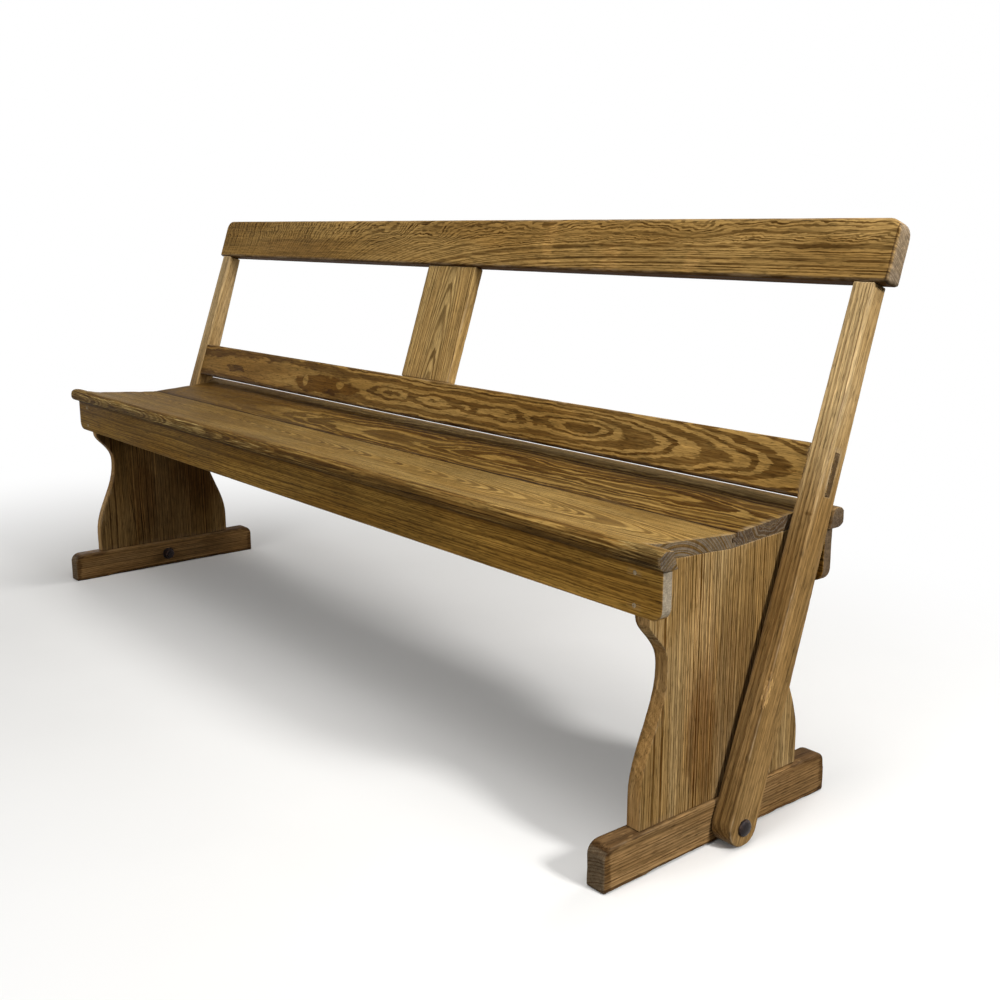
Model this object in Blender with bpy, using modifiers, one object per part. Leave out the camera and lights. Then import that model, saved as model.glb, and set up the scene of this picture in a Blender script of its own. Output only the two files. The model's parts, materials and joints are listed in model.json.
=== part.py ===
"""Chapel bench with a swing-over back, in metres, +Z up, +X along the bench, +Y to the back.

Two waisted end panels stand in sled feet and carry two aprons and a dished seat of two boards.
The back is a frame of two tapered arms, two rails and a slat. It swings on a bolt through each
foot, so that its arms rest against stops at the front or at the back of the seat's end recesses.
"""

from math import asin, atan, atan2, cos, hypot, pi, sin, tan

import bmesh
import bpy
from mathutils import Matrix

# End panels
PANEL_SPAN = 1.779  # between the middle planes of the two panels
PANEL_THICKNESS = 0.024
PANEL_BASE_WIDTH = 0.324
PANEL_WAIST_WIDTH = 0.233
PANEL_STRAIGHT = 0.043  # upright stretch of the edge above the foot
PANEL_FLARE = 0.075  # height of the hollow from the waist up to the lip
PANEL_FLARE_SKEW = 1.4  # more than 1 keeps the hollow narrow for longer
PANEL_LIP_HEIGHT = 0.008
PANEL_LIP_BEARING = 0.003  # how far the lip reaches under an apron
PANEL_TENON_WIDTH = 0.075
PANEL_TENON_THICKNESS = 0.012
PANEL_TENON_DEPTH = 0.030
PANEL_TENON_SPACING = 0.170

# Sled feet
FOOT_LENGTH = 0.456
FOOT_HEIGHT = 0.062
FOOT_THICKNESS = 0.034
FOOT_CORNER = 0.018
FOOT_PAD_LENGTH = 0.075
FOOT_RELIEF = 0.0015
FOOT_RELIEF_RUN = 0.012

# Aprons
APRON_SPACING = 0.305  # between the inner faces
APRON_THICKNESS = 0.017
FRONT_APRON_HEIGHT = 0.0673
BACK_APRON_HEIGHT = 0.0770
APRON_OVERHANG = 0.0355  # past the outer face of a panel
APRON_CORNER = 0.018

# Seat boards
SEAT_UNDERSIDE = 0.4205  # above the floor, where the seat lies on the aprons
FRONT_NOSE_THICKNESS = 0.026
BACK_NOSE_THICKNESS = 0.029
SEAT_NOSE_OVERHANG = 0.0155  # past the face of an apron
SEAT_CENTRE_THICKNESS = 0.0187
SEAT_CENTRE_FALL = 0.0085  # how far the underside drops at the middle
SEAT_DISH_WIDTH = 0.270  # the two straight slopes together
SEAT_DISH_RISE = 0.0098  # of one slope
SEAT_LUG_OVERHANG = 0.0435  # past the outer face of a panel
SEAT_LUG_CORNER = 0.005
SEAT_JOINT_SETBACK = 0.008  # how far behind the middle the boards meet
TONGUE_THICKNESS = 0.006
TONGUE_DEPTH = 0.008

# Glue blocks in the corners of apron and seat
BLOCK_LENGTH = 0.070
BLOCK_SIDE = 0.024
BLOCK_SPACING = 0.560
BLOCKS_PER_APRON = 3

# Swinging back
PIVOT_HEIGHT = 0.030
ARM_LENGTH = 0.7545  # from the pivot to the top rail
ARM_THICKNESS = 0.0335
ARM_PIVOT_WIDTH = 0.056
ARM_TOP_WIDTH = 0.030
ARM_TENON_WIDTH = 0.022
ARM_TENON_THICKNESS = 0.012
ARM_TENON_DEPTH = 0.045
TOP_RAIL_OVERHANG = 0.0199  # past the outer face of an arm
TOP_RAIL_HEIGHT = 0.0895
TOP_RAIL_THICKNESS = 0.030
TOP_RAIL_CORNER = 0.022
LOWER_RAIL_HEIGHT = 0.0756
LOWER_RAIL_THICKNESS = 0.034
LOWER_RAIL_LIFT = 0.0043  # of its lowest edge over the seat's crest
LOWER_TENON_HEIGHT = 0.060
LOWER_TENON_THICKNESS = 0.0095
LOWER_TENON_PROUD = 0.0005
SLAT_WIDTH = 0.152
SLAT_THICKNESS = 0.020
SLAT_TENON_WIDTH = 0.120
SLAT_TENON_THICKNESS = 0.009
SLAT_TENON_DEPTH = 0.018

# Pivot bolts, with a spacer between arm and foot and a washer and nut inside the foot
BOLT_DIAMETER = 0.012
BOLT_HEAD_DIAMETER = 0.024
BOLT_HEAD_HEIGHT = 0.0065
BOLT_HEAD_RIM = 0.0012
BOLT_TAIL = 0.003  # past the nut
SPACER_DIAMETER = 0.030
SPACER_THICKNESS = 0.0010
WASHER_DIAMETER = 0.028
WASHER_THICKNESS = 0.002
NUT_WIDTH = 0.019
NUT_SIDES = 6
NUT_THICKNESS = 0.010

# Nails through the aprons into the edges of the panels
NAIL_DIAMETER = 0.0032
NAIL_LENGTH = 0.045
NAIL_HEAD_DIAMETER = 0.006
NAIL_HEAD_THICKNESS = 0.0012
NAIL_POINT = 0.005
NAIL_SPACING = 0.042

# Clearances
FACE_GAP = 0.0003  # between faces that rest on each other
MORTISE_GAP = 0.0003  # round a tenon
MORTISE_END_GAP = 0.0006  # past the end of a tenon
BORE_GAP = 0.0003  # round a bolt
NAIL_GAP = 0.0002  # round a nail
STOP_GAP = 0.0003  # between an arm and the stop that it leans on
APRON_ARM_CLEARANCE = 0.0008  # between a leaning arm and the apron's inner edge

# Eased edges
FOOT_EASE = 0.0030
PANEL_EASE = 0.0015
APRON_EASE = 0.0015
SEAT_EASE = 0.0012
BLOCK_EASE = 0.0015
ARM_EASE = 0.0018
TOP_RAIL_EASE = 0.0045
LOWER_RAIL_EASE = 0.0025
SLAT_EASE = 0.0030
NUT_EASE = 0.0010

# Facets
CORNER_STEPS = 6
ARM_END_STEPS = 16
PANEL_CURVE_STEPS = 12
NOSE_STEPS = 12
DISH_STEPS = 6
DOME_STEPS = 6
TURNED_STEPS = 24
NAIL_STEPS = 10
EASE_SEGMENTS = 2
SHARP_ANGLE = 0.6
EASE_ANGLE = 0.6
WELD_DISTANCE = 0.000001
FLAT_ANGLE = 0.001
CUT_MARGIN = 0.010  # how far a cutter reaches past the piece it cuts
JOIN_DEPTH = 0.006  # how far a tenon's blank reaches into its piece

# Places that follow from the sizes
PANEL_X = PANEL_SPAN / 2
PANEL_OUTER_X = PANEL_X + PANEL_THICKNESS / 2
FOOT_OUTER_X = PANEL_X + FOOT_THICKNESS / 2
FOOT_INNER_X = PANEL_X - FOOT_THICKNESS / 2
ARM_INNER_X = FOOT_OUTER_X + SPACER_THICKNESS + 2 * FACE_GAP
ARM_OUTER_X = ARM_INNER_X + ARM_THICKNESS
ARM_X = ARM_INNER_X + ARM_THICKNESS / 2
APRON_INNER_Y = APRON_SPACING / 2
APRON_FRONT_Y = APRON_INNER_Y + APRON_THICKNESS
APRON_TOP = SEAT_UNDERSIDE - FACE_GAP
APRON_BOTTOMS = {"front": APRON_TOP - FRONT_APRON_HEIGHT, "back": APRON_TOP - BACK_APRON_HEIGHT}
PANEL_BOTTOM = FOOT_HEIGHT + FACE_GAP
WAIST_HEIGHT = APRON_BOTTOMS["front"] - FACE_GAP - PANEL_LIP_HEIGHT - PANEL_FLARE
NOSE_FRONT_Y = APRON_FRONT_Y + SEAT_NOSE_OVERHANG
NOSE_THICKNESSES = {"front": FRONT_NOSE_THICKNESS, "back": BACK_NOSE_THICKNESS}
SEAT_CREST = SEAT_UNDERSIDE + max(FRONT_NOSE_THICKNESS, BACK_NOSE_THICKNESS)
SEAT_CENTRE_UNDERSIDE = SEAT_UNDERSIDE - SEAT_CENTRE_FALL
SEAT_CENTRE_TOP = SEAT_CENTRE_UNDERSIDE + SEAT_CENTRE_THICKNESS
SEAT_END_X = PANEL_OUTER_X + SEAT_LUG_OVERHANG
TOP_RAIL_TOP = ARM_LENGTH + TOP_RAIL_HEIGHT
TOP_RAIL_END_X = ARM_OUTER_X + TOP_RAIL_OVERHANG

# The back leans until its arms meet the stops, which clear the aprons' inner edges.
ARM_TAPER = atan((ARM_PIVOT_WIDTH - ARM_TOP_WIDTH) / 2 / ARM_LENGTH)
ARM_EDGE_REACH = ARM_PIVOT_WIDTH / 2 * cos(ARM_TAPER)
APRON_EDGE_RISE = APRON_TOP - PIVOT_HEIGHT
EDGE_LEAN = atan2(APRON_INNER_Y, APRON_EDGE_RISE) - asin(
    (ARM_EDGE_REACH + APRON_ARM_CLEARANCE) / hypot(APRON_INNER_Y, APRON_EDGE_RISE)
)
BACK_TILT = EDGE_LEAN + ARM_TAPER

# The rail's outer lower edge is at its lowest where the back rests, and clears the seat there.
LOWEST_EDGE_RISE = SEAT_CREST + LOWER_RAIL_LIFT - PIVOT_HEIGHT
LOWER_RAIL_BOTTOM = (
    LOWEST_EDGE_RISE + LOWER_RAIL_THICKNESS / 2 * sin(BACK_TILT)
) / cos(BACK_TILT)
LOWER_RAIL_TOP = LOWER_RAIL_BOTTOM + LOWER_RAIL_HEIGHT
LOWER_RAIL_MIDDLE = LOWER_RAIL_BOTTOM + LOWER_RAIL_HEIGHT / 2

# The origin lies on the floor, under the middle of the whole bench with its back at rest.
REAR_REACH = (
    (TOP_RAIL_TOP - TOP_RAIL_EASE) * sin(BACK_TILT)
    + (TOP_RAIL_THICKNESS / 2 - TOP_RAIL_EASE) * cos(BACK_TILT)
    + TOP_RAIL_EASE
)
ORIGIN_Y = (REAR_REACH - FOOT_LENGTH / 2) / 2

# Outlines are drawn flat and turned to one of these planes, with their thickness square to it.
SIDE_PLANE = Matrix(((0, 0, 1, 0), (1, 0, 0, 0), (0, 1, 0, 0), (0, 0, 0, 1)))
FRONT_PLANE = Matrix(((1, 0, 0, 0), (0, 0, -1, 0), (0, 1, 0, 0), (0, 0, 0, 1)))
PLAN_PLANE = Matrix.Identity(4)

SIDES = {"left": -1, "right": 1}
FACES = {"front": -1, "back": 1}

# Colours of the finishes, with their roughness and how metallic they are
FINISHES = {
    "panel_pine": ((0.42, 0.20, 0.060), 0.45, 0.0),
    "foot_pine": ((0.36, 0.17, 0.055), 0.50, 0.0),
    "apron_pine": ((0.46, 0.21, 0.060), 0.42, 0.0),
    "seat_pine": ((0.50, 0.27, 0.100), 0.42, 0.0),
    "block_pine": ((0.52, 0.33, 0.160), 0.65, 0.0),
    "arm_pine": ((0.36, 0.18, 0.060), 0.45, 0.0),
    "rail_pine": ((0.44, 0.20, 0.055), 0.40, 0.0),
    "slat_pine": ((0.45, 0.21, 0.060), 0.42, 0.0),
    "dark_iron": ((0.055, 0.045, 0.040), 0.50, 0.9),
}


def clear_scene():
    for obj in list(bpy.data.objects):
        bpy.data.objects.remove(obj, do_unlink=True)


def new_collection(name):
    collection = bpy.data.collections.new(name)
    bpy.context.scene.collection.children.link(collection)
    return collection


def new_material(name):
    colour, roughness, metallic = FINISHES[name]
    made = bpy.data.materials.new(name)
    made.use_nodes = True
    shader = made.node_tree.nodes["Principled BSDF"]
    shader.inputs["Base Color"].default_value = (*colour, 1.0)
    shader.inputs["Roughness"].default_value = roughness
    shader.inputs["Metallic"].default_value = metallic
    made.diffuse_color = (*colour, 1.0)
    return made


def arc(centre, radius, start, end, steps):
    """Points along a circle, from one angle to another in radians."""
    points = []
    for step in range(steps + 1):
        angle = start + (end - start) * step / steps
        points.append((centre[0] + radius * cos(angle), centre[1] + radius * sin(angle)))
    return points


def mirrored(half):
    """A closed outline from its half with a positive first coordinate, drawn from the bottom up."""
    return half + [(-a, b) for a, b in reversed(half) if a > 0]


def ease(part):
    """Runs from 0 to 1 with level ends."""
    return (1 - cos(pi * part)) / 2


class Bench:
    """Makes the pieces and holds their collections, finishes and parent empties."""

    def __init__(self):
        self.parts = new_collection("chapel_bench")
        self.cutters = new_collection("cutters")
        self.materials = {name: new_material(name) for name in FINISHES}
        self.frame = self.empty("bench_origin", None, (0, -ORIGIN_Y, 0))
        self.back = self.empty("back_swing_axis", self.frame, (0, 0, PIVOT_HEIGHT))
        self.back.rotation_euler.x = -BACK_TILT

    def empty(self, name, parent, location):
        made = bpy.data.objects.new(name, None)
        made.location = location
        made.parent = parent
        self.parts.objects.link(made)
        return made

    def place(self, name, mesh, parent, finish, location=(0, 0, 0), rotation=(0, 0, 0)):
        """Adds a piece, or a cutter where no finish is given."""
        made = bpy.data.objects.new(name, mesh)
        made.parent = parent
        made.location = location
        made.rotation_euler = rotation
        if finish is None:
            made.hide_render = True
            made.display_type = "WIRE"
            self.cutters.objects.link(made)
        else:
            mesh.materials.append(self.materials[finish])
            self.parts.objects.link(made)
        return made


def outline_mesh(name, points, thickness, plane):
    """A flat outline with a thickness, as a closed mesh."""
    curve = bpy.data.curves.new(name, "CURVE")
    curve.dimensions = "2D"
    curve.fill_mode = "BOTH"
    curve.extrude = thickness / 2
    spline = curve.splines.new("POLY")
    spline.points.add(len(points) - 1)
    for point, (a, b) in zip(spline.points, points):
        point.co = (a, b, 0, 1)
    spline.use_cyclic_u = True
    drawn = bpy.data.objects.new(name, curve)
    bpy.context.scene.collection.objects.link(drawn)
    evaluated = drawn.evaluated_get(bpy.context.evaluated_depsgraph_get())
    mesh = bpy.data.meshes.new_from_object(evaluated)
    bpy.data.objects.remove(drawn)
    bpy.data.curves.remove(curve)
    cleaned = bmesh.new()
    cleaned.from_mesh(mesh)
    bmesh.ops.remove_doubles(cleaned, verts=cleaned.verts, dist=WELD_DISTANCE)
    bmesh.ops.dissolve_limit(
        cleaned, angle_limit=FLAT_ANGLE, verts=cleaned.verts, edges=cleaned.edges
    )
    bmesh.ops.transform(cleaned, matrix=plane, verts=cleaned.verts)
    bmesh.ops.recalc_face_normals(cleaned, faces=cleaned.faces)
    cleaned.to_mesh(mesh)
    cleaned.free()
    mesh.name = name
    return mesh


def box_mesh(name, size):
    made = bmesh.new()
    bmesh.ops.create_cube(made, size=1.0)
    bmesh.ops.scale(made, vec=size, verts=made.verts)
    mesh = bpy.data.meshes.new(name)
    made.to_mesh(mesh)
    made.free()
    return mesh


def profile_mesh(name, points, closed):
    """Edges of a turned shape: pairs of radius and height, which run down the outer side."""
    mesh = bpy.data.meshes.new(name)
    edges = [(step, step + 1) for step in range(len(points) - 1)]
    if closed:
        edges.append((len(points) - 1, 0))
    mesh.from_pydata([(radius, 0, height) for radius, height in points], edges, [])
    return mesh


def turn(obj, steps):
    screw = obj.modifiers.new("turned", "SCREW")
    screw.steps = steps
    screw.render_steps = steps
    screw.use_merge_vertices = True
    screw.merge_threshold = WELD_DISTANCE
    return obj


def ease_edges(obj, width):
    bevel = obj.modifiers.new("eased", "BEVEL")
    bevel.limit_method = "ANGLE"
    bevel.angle_limit = EASE_ANGLE
    bevel.width = width
    bevel.segments = EASE_SEGMENTS
    return obj


def combine(obj, other, operation):
    boolean = obj.modifiers.new(other.name, "BOOLEAN")
    boolean.operation = operation
    boolean.object = other


def cut(obj, *cutters):
    for cutter in cutters:
        combine(obj, cutter, "DIFFERENCE")


def join(obj, *blanks):
    for blank in blanks:
        combine(obj, blank, "UNION")


def smooth(*objects):
    for obj in objects:
        obj.data.shade_smooth()
        obj.data.set_sharp_from_angle(angle=SHARP_ANGLE)


def seat_underside(reach):
    """Height of the seat's underside, at a distance from the middle of the bench."""
    part = min(reach / APRON_INNER_Y, 1)
    return SEAT_CENTRE_UNDERSIDE + SEAT_CENTRE_FALL * part


def seat_slope(reach):
    """Height of the seat's straight slopes, at a distance from the middle of the bench."""
    return SEAT_CENTRE_TOP + SEAT_DISH_RISE * reach / (SEAT_DISH_WIDTH / 2)


def arm_edge(height):
    """How far the leaning arm's outer edge is from the pivot's plane, at a height."""
    return (height - PIVOT_HEIGHT) * tan(EDGE_LEAN) + ARM_EDGE_REACH / cos(EDGE_LEAN)


def socket(bench, name, parent, size, location):
    """A box-shaped cutter for a mortise."""
    return bench.place(name, box_mesh(name, size), parent, None, location)


def bolt_bore(bench, name, parent, location):
    """A bore along X for a pivot bolt, through an arm, a foot or a nut."""
    radius = BOLT_DIAMETER / 2 + BORE_GAP
    half = (ARM_THICKNESS + FOOT_THICKNESS) / 2 + CUT_MARGIN
    mesh = profile_mesh(name, [(0, half), (radius, half), (radius, -half), (0, -half)], False)
    return turn(bench.place(name, mesh, parent, None, location, (0, pi / 2, 0)), TURNED_STEPS)


def nail_profile(gap):
    """A round nail with a flat head, point down, swollen by a gap where it is a bore's cutter."""
    head = NAIL_HEAD_DIAMETER / 2 + gap
    shank = NAIL_DIAMETER / 2 + gap
    under_head = -NAIL_HEAD_THICKNESS - gap
    top = CUT_MARGIN if gap else 0
    return [
        (0, top),
        (head, top),
        (head, under_head),
        (shank, under_head),
        (shank, -NAIL_LENGTH + NAIL_POINT),
        (0, -NAIL_LENGTH - gap),
    ]


def make_nails(bench):
    """Nails of both aprons, and a cutter for each. Returns the cutters by side and by face."""
    bores = {}
    for side, x_sign in SIDES.items():
        for face, y_sign in FACES.items():
            for level, z_sign in {"lower": -1, "upper": 1}.items():
                name = f"apron_nail_{face}_{side}_{level}"
                location = (
                    x_sign * PANEL_X,
                    y_sign * APRON_FRONT_Y,
                    (APRON_TOP + APRON_BOTTOMS[face]) / 2 + z_sign * NAIL_SPACING / 2,
                )
                rotation = (-y_sign * pi / 2, 0, 0)
                mesh = profile_mesh(name, nail_profile(0), False)
                nail = bench.place(name, mesh, bench.frame, "dark_iron", location, rotation)
                turn(nail, NAIL_STEPS)
                cutter_mesh = profile_mesh(name + "_bore", nail_profile(NAIL_GAP), False)
                cutter = bench.place(name + "_bore", cutter_mesh, bench.frame, None, location, rotation)
                turn(cutter, NAIL_STEPS)
                bores.setdefault(side, []).append(cutter)
                bores.setdefault(face, []).append(cutter)
    return bores


def foot_outline():
    half = FOOT_LENGTH / 2
    pad_end = half - FOOT_PAD_LENGTH
    corner = arc((half - FOOT_CORNER, FOOT_HEIGHT - FOOT_CORNER), FOOT_CORNER, 0, pi / 2, CORNER_STEPS)
    return mirrored([(pad_end - FOOT_RELIEF_RUN, FOOT_RELIEF), (pad_end, 0), (half, 0)] + corner)


def make_foot(bench, side, x_sign):
    """A sled foot on two pads, with sockets for the panel's tenons and a bore for the pivot bolt."""
    name = f"foot_{side}"
    x = x_sign * PANEL_X
    mesh = outline_mesh(name, foot_outline(), FOOT_THICKNESS, SIDE_PLANE)
    foot = bench.place(name, mesh, bench.frame, "foot_pine", (x, 0, 0))
    ease_edges(foot, FOOT_EASE)
    depth = PANEL_TENON_DEPTH + MORTISE_END_GAP
    size = (
        PANEL_TENON_THICKNESS + 2 * MORTISE_GAP,
        PANEL_TENON_WIDTH + 2 * MORTISE_GAP,
        depth + CUT_MARGIN,
    )
    height = FOOT_HEIGHT - depth + size[2] / 2
    for face, y_sign in FACES.items():
        location = (x, y_sign * PANEL_TENON_SPACING / 2, height)
        cut(foot, socket(bench, f"{name}_mortise_{face}", bench.frame, size, location))
    cut(foot, bolt_bore(bench, f"{name}_bore", bench.frame, (x, 0, PIVOT_HEIGHT)))
    smooth(foot)


def panel_edge(face):
    """One edge of a waisted end: upright base, long taper to the waist, hollow flare, lip and notch."""
    base = PANEL_BASE_WIDTH / 2
    waist = PANEL_WAIST_WIDTH / 2
    lip = APRON_INNER_Y + PANEL_LIP_BEARING
    notch = APRON_INNER_Y - FACE_GAP
    lip_top = APRON_BOTTOMS[face] - FACE_GAP
    flare = lip_top - PANEL_LIP_HEIGHT - WAIST_HEIGHT
    taper_start = FOOT_HEIGHT + PANEL_STRAIGHT
    half = [(base, PANEL_BOTTOM)]
    for step in range(PANEL_CURVE_STEPS + 1):
        part = step / PANEL_CURVE_STEPS
        height = taper_start + (WAIST_HEIGHT - taper_start) * part
        half.append((base + (waist - base) * ease(part), height))
    for step in range(1, PANEL_CURVE_STEPS + 1):
        part = step / PANEL_CURVE_STEPS
        height = WAIST_HEIGHT + flare * part
        half.append((waist + (lip - waist) * ease(part**PANEL_FLARE_SKEW), height))
    half += [(lip, lip_top), (notch, lip_top), (notch, seat_underside(notch) - FACE_GAP)]
    return half


def panel_outline():
    """The back edge of an end panel, drawn upwards, the dip of its top and the front edge."""
    front = [(-y, z) for y, z in panel_edge("front")]
    return panel_edge("back") + [(0, SEAT_CENTRE_UNDERSIDE - FACE_GAP)] + front[::-1]


def make_panel(bench, side, x_sign, nail_bores):
    """A waisted end panel with two tenons below and a notch for each apron."""
    name = f"end_panel_{side}"
    x = x_sign * PANEL_X
    mesh = outline_mesh(name, panel_outline(), PANEL_THICKNESS, SIDE_PLANE)
    panel = bench.place(name, mesh, bench.frame, "panel_pine", (x, 0, 0))
    ease_edges(panel, PANEL_EASE)
    bottom = FOOT_HEIGHT - PANEL_TENON_DEPTH
    top = PANEL_BOTTOM + JOIN_DEPTH
    size = (PANEL_TENON_THICKNESS, PANEL_TENON_WIDTH, top - bottom)
    for face, y_sign in FACES.items():
        location = (x, y_sign * PANEL_TENON_SPACING / 2, (top + bottom) / 2)
        join(panel, socket(bench, f"{name}_tenon_{face}", bench.frame, size, location))
    cut(panel, *nail_bores)
    smooth(panel)


def make_apron(bench, face, y_sign, nail_bores):
    """A seat rail let into the panels, with its lower end corners rounded."""
    name = f"apron_{face}"
    half = PANEL_OUTER_X + APRON_OVERHANG
    corner_centre = (half - APRON_CORNER, APRON_BOTTOMS[face] + APRON_CORNER)
    corner = arc(corner_centre, APRON_CORNER, -pi / 2, 0, CORNER_STEPS)
    mesh = outline_mesh(name, mirrored(corner + [(half, APRON_TOP)]), APRON_THICKNESS, FRONT_PLANE)
    location = (0, y_sign * (APRON_INNER_Y + APRON_THICKNESS / 2), 0)
    apron = bench.place(name, mesh, bench.frame, "apron_pine", location)
    ease_edges(apron, APRON_EASE)
    cut(apron, *nail_bores)
    smooth(apron)


def seat_outline(joint, nose_thickness):
    """Section of the back board, from its joint near the middle of the seat round its nose."""
    nose_radius = nose_thickness / 2
    nose_y = NOSE_FRONT_Y - nose_radius
    points = joint + [(SEAT_DISH_WIDTH / 2, SEAT_CENTRE_TOP + SEAT_DISH_RISE)]
    run = nose_y - SEAT_DISH_WIDTH / 2
    rise = SEAT_UNDERSIDE + nose_thickness - points[-1][1]
    slope = SEAT_DISH_RISE / (SEAT_DISH_WIDTH / 2)
    for step in range(1, DISH_STEPS):
        part = step / DISH_STEPS
        curve = slope * run * part * (1 - part) ** 2 + rise * part**2 * (3 - 2 * part)
        points.append((SEAT_DISH_WIDTH / 2 + run * part, SEAT_CENTRE_TOP + SEAT_DISH_RISE + curve))
    points += arc((nose_y, SEAT_UNDERSIDE + nose_radius), nose_radius, pi / 2, -pi / 2, NOSE_STEPS)
    points.append((APRON_INNER_Y, SEAT_UNDERSIDE))
    return points


def joint_edge(edge, depth, gap):
    """Edge of a board at the joint, drawn upwards, with a tongue or a groove of this depth."""
    low = seat_underside(abs(edge))
    high = seat_slope(abs(edge))
    middle = (low + high) / 2
    half = TONGUE_THICKNESS / 2 + gap
    return [
        (edge, low),
        (edge, middle - half),
        (edge + depth, middle - half),
        (edge + depth, middle + half),
        (edge, middle + half),
        (edge, high),
    ]


def recess_cutter(bench, side, x_sign):
    """Takes out the seat's end between the lugs, with stops cut to the slope of a leaning arm."""
    low = SEAT_CENTRE_UNDERSIDE - CUT_MARGIN
    high = SEAT_CREST + CUT_MARGIN
    clear = STOP_GAP / cos(EDGE_LEAN)
    outline = mirrored([(arm_edge(low) + clear, low), (arm_edge(high) + clear, high)])
    name = f"seat_recess_{side}"
    width = SEAT_LUG_OVERHANG + CUT_MARGIN
    mesh = outline_mesh(name, outline, width, SIDE_PLANE)
    return bench.place(name, mesh, bench.frame, None, (x_sign * (PANEL_OUTER_X + width / 2), 0, 0))


def lug_corner_cutter(bench, name, x_sign, y_sign):
    """Rounds the outer corner of a seat lug, seen from above."""
    round_x = SEAT_END_X - SEAT_LUG_CORNER
    round_y = NOSE_FRONT_Y - SEAT_LUG_CORNER
    far_x = SEAT_END_X + CUT_MARGIN
    far_y = NOSE_FRONT_Y + CUT_MARGIN
    outline = arc((round_x, round_y), SEAT_LUG_CORNER, 0, pi / 2, CORNER_STEPS)
    outline += [(round_x, far_y), (far_x, far_y), (far_x, round_y)]
    outline = [(x_sign * a, y_sign * b) for a, b in outline]
    mesh = outline_mesh(name, outline, SEAT_CREST - SEAT_UNDERSIDE + 2 * CUT_MARGIN, PLAN_PLANE)
    return bench.place(name, mesh, bench.frame, None, (0, 0, (SEAT_CREST + SEAT_UNDERSIDE) / 2))


def make_seat(bench):
    """Two dished boards, tongued together, with nosed edges and lugs that stop the arms."""
    recesses = [recess_cutter(bench, side, x_sign) for side, x_sign in SIDES.items()]
    groove_depth = TONGUE_DEPTH + MORTISE_END_GAP
    groove = joint_edge(FACE_GAP / 2 - SEAT_JOINT_SETBACK, groove_depth, MORTISE_GAP)
    joints = {
        "front": [(0, SEAT_CENTRE_UNDERSIDE), *groove, (0, SEAT_CENTRE_TOP)],
        "back": joint_edge(FACE_GAP / 2 + SEAT_JOINT_SETBACK, -TONGUE_DEPTH, 0),
    }
    for face, y_sign in FACES.items():
        name = f"seat_board_{face}"
        outline = [(y_sign * a, b) for a, b in seat_outline(joints[face], NOSE_THICKNESSES[face])]
        mesh = outline_mesh(name, outline, 2 * SEAT_END_X, SIDE_PLANE)
        board = bench.place(name, mesh, bench.frame, "seat_pine")
        ease_edges(board, SEAT_EASE)
        cut(board, *recesses)
        for side, x_sign in SIDES.items():
            cut(board, lug_corner_cutter(bench, f"{name}_corner_{side}", x_sign, y_sign))
        smooth(board)


def make_glue_blocks(bench):
    """Blocks rubbed into the corners between the aprons and the seat's underside."""
    edge = APRON_INNER_Y - FACE_GAP
    top = seat_underside(edge - BLOCK_SIDE) - FACE_GAP
    size = (BLOCK_LENGTH, BLOCK_SIDE, BLOCK_SIDE)
    for face, y_sign in FACES.items():
        for number in range(BLOCKS_PER_APRON):
            name = f"glue_block_{face}_{number + 1}"
            x = (number - (BLOCKS_PER_APRON - 1) / 2) * BLOCK_SPACING
            location = (x, y_sign * (edge - BLOCK_SIDE / 2), top - BLOCK_SIDE / 2)
            block = bench.place(name, box_mesh(name, size), bench.frame, "block_pine", location)
            ease_edges(block, BLOCK_EASE)


def make_arm(bench, side, x_sign):
    """A tapered arm, round at the pivot, with a tenon above and a slot for the lower rail's tenon."""
    name = f"back_arm_{side}"
    x = x_sign * ARM_X
    top = ARM_LENGTH - FACE_GAP
    outline = arc((0, 0), ARM_PIVOT_WIDTH / 2, -pi, 0, ARM_END_STEPS)
    outline += [(ARM_TOP_WIDTH / 2, top), (-ARM_TOP_WIDTH / 2, top)]
    mesh = outline_mesh(name, outline, ARM_THICKNESS, SIDE_PLANE)
    arm = bench.place(name, mesh, bench.back, "arm_pine", (x, 0, 0))
    ease_edges(arm, ARM_EASE)
    tenon_height = ARM_TENON_DEPTH + JOIN_DEPTH
    tenon_size = (ARM_TENON_WIDTH, ARM_TENON_THICKNESS, tenon_height)
    tenon_middle = ARM_LENGTH - JOIN_DEPTH + tenon_height / 2
    join(arm, socket(bench, f"{name}_tenon", bench.back, tenon_size, (x, 0, tenon_middle)))
    slot_size = (
        ARM_THICKNESS + 2 * CUT_MARGIN,
        LOWER_TENON_THICKNESS + 2 * MORTISE_GAP,
        LOWER_TENON_HEIGHT + 2 * MORTISE_GAP,
    )
    cut(arm, socket(bench, f"{name}_slot", bench.back, slot_size, (x, 0, LOWER_RAIL_MIDDLE)))
    cut(arm, bolt_bore(bench, f"{name}_bore", bench.back, (x, 0, 0)))
    smooth(arm)


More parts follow.
